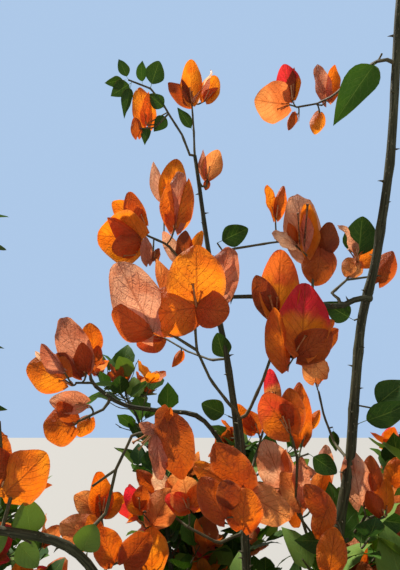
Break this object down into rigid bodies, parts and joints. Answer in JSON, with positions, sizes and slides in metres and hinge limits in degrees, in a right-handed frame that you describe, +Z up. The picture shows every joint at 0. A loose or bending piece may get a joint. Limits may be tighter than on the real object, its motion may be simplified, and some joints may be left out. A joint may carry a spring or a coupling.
{
  "type": "bougainvillea bush",
  "caption": "Young garden bougainvillea with a short flared trunk, long arching canes, oval green leaves and sprays of papery orange three-bract blooms.",
  "frame": {"origin": "middle of the flat cut under the trunk, at ground level", "axes": "+Z up along the trunk, -Y towards the side that the picture shows, +X to that view's right"},
  "size_m": [0.9944, 0.9049, 1.0093],
  "materials": {
    "bark": "rough grey-brown bark",
    "cane_bark": "satin olive-brown bark with a paler ridge",
    "bract_spray": "papery, veined, orange to pink, light shows through",
    "leaf_spray": "satin green leaf with a paler midrib"
  },
  "bodies": {
    "root": {"trunk": "bark", "cane_middle": "cane_bark", "cane_right": "cane_bark", "cane_low_left": "cane_bark", "cane_fork": "cane_bark", "arm_left": "cane_bark", "arm_right": "cane_bark", "cane_tall_left": "cane_bark", "cane_tall_right": "cane_bark", "cane_back_left": "cane_bark", "cane_back": "cane_bark", "cane_back_right": "cane_bark", "cane_low_back_left": "cane_bark", "cane_low_side_left": "cane_bark", "cane_low_side_right": "cane_bark", "cane_low_front": "cane_bark", "cane_low_front_right": "cane_bark", "spray_top_left": "bract_spray", "spray_top_middle": "bract_spray", "spray_high": "bract_spray", "spray_upper_left": "bract_spray", "spray_far_right": "bract_spray", "spray_front": "bract_spray", "spray_front_right": "bract_spray", "spray_right": "bract_spray", "spray_right_edge": "bract_spray", "spray_top_right": "bract_spray", "spray_far_middle": "bract_spray", "spray_left": "bract_spray", "spray_left_low": "bract_spray", "spray_lower_left": "bract_spray", "spray_left_edge": "bract_spray", "spray_low_left": "bract_spray", "spray_low_middle": "bract_spray", "spray_centre": "bract_spray", "spray_centre_left": "bract_spray", "spray_low_centre": "bract_spray", "spray_centre_right": "bract_spray", "spray_low_right": "bract_spray", "spray_low_front": "bract_spray", "spray_low_back": "bract_spray", "foliage_tall_left_tip": "leaf_spray", "foliage_tall_left_side": "leaf_spray", "foliage_tall_left_foot": "leaf_spray", "foliage_tall_right_tip": "leaf_spray", "foliage_tall_right_side": "leaf_spray", "foliage_tall_right_foot": "leaf_spray", "foliage_back_left_tip": "leaf_spray", "foliage_back_left_side": "leaf_spray", "foliage_back_tip": "leaf_spray", "foliage_back_side": "leaf_spray", "foliage_back_right_tip": "leaf_spray", "foliage_low_back_left": "leaf_spray", "foliage_low_side_left": "leaf_spray", "foliage_low_side_right": "leaf_spray", "foliage_low_front": "leaf_spray", "foliage_low_front_right": "leaf_spray", "foliage_right_foot": "leaf_spray", "foliage_middle_foot": "leaf_spray", "foliage_left_foot": "leaf_spray"}
  },
  "joints": []
}
